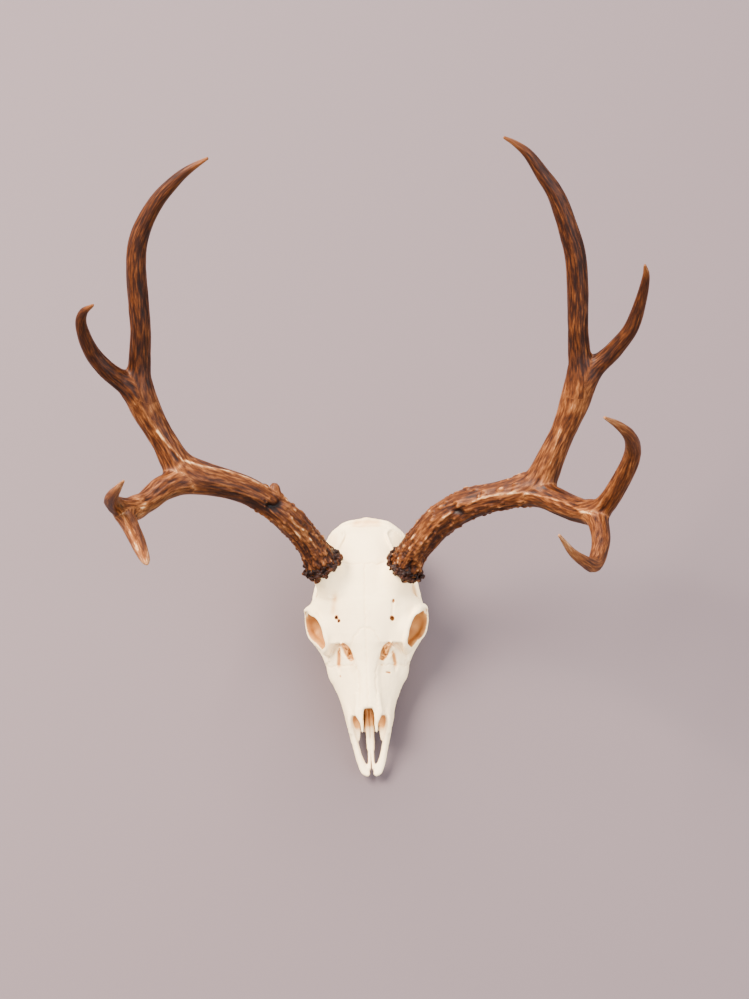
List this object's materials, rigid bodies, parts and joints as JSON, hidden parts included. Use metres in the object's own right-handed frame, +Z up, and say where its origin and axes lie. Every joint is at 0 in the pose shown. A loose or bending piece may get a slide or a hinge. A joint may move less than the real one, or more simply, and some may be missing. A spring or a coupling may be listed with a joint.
{
  "type": "mule deer skull",
  "caption": "Bleached deer skull without its lower jaw, with a pair of forked brown antlers, resting on its cheek teeth and neck processes.",
  "frame": {"origin": "middle of the bottom of the whole object's box, on the surface that the teeth and neck processes rest on", "axes": "+Z up; the nose points to -Y and the back of the skull to +Y; +X is the deer's own left side"},
  "size_m": [0.5459, 0.4337, 0.5563],
  "materials": {
    "bone": "dry bleached bone, matt",
    "tooth": "enamel, satin",
    "antler": "grooved antler, dark brown, satin"
  },
  "bodies": {
    "root": {"skull": "bone", "left_premolar_1": "tooth", "left_premolar_2": "tooth", "left_premolar_3": "tooth", "left_molar_1": "tooth", "left_molar_2": "tooth", "left_molar_3": "tooth", "right_premolar_1": "tooth", "right_premolar_2": "tooth", "right_premolar_3": "tooth", "right_molar_1": "tooth", "right_molar_2": "tooth", "right_molar_3": "tooth", "left_antler_beam": "antler", "left_antler_back_tine": "antler", "left_antler_side_tine": "antler", "left_antler_front_tine": "antler", "left_antler_low_tine": "antler", "right_antler_beam": "antler", "right_antler_back_tine": "antler", "right_antler_side_tine": "antler", "right_antler_front_tine": "antler", "right_antler_low_tine": "antler"}
  },
  "joints": []
}
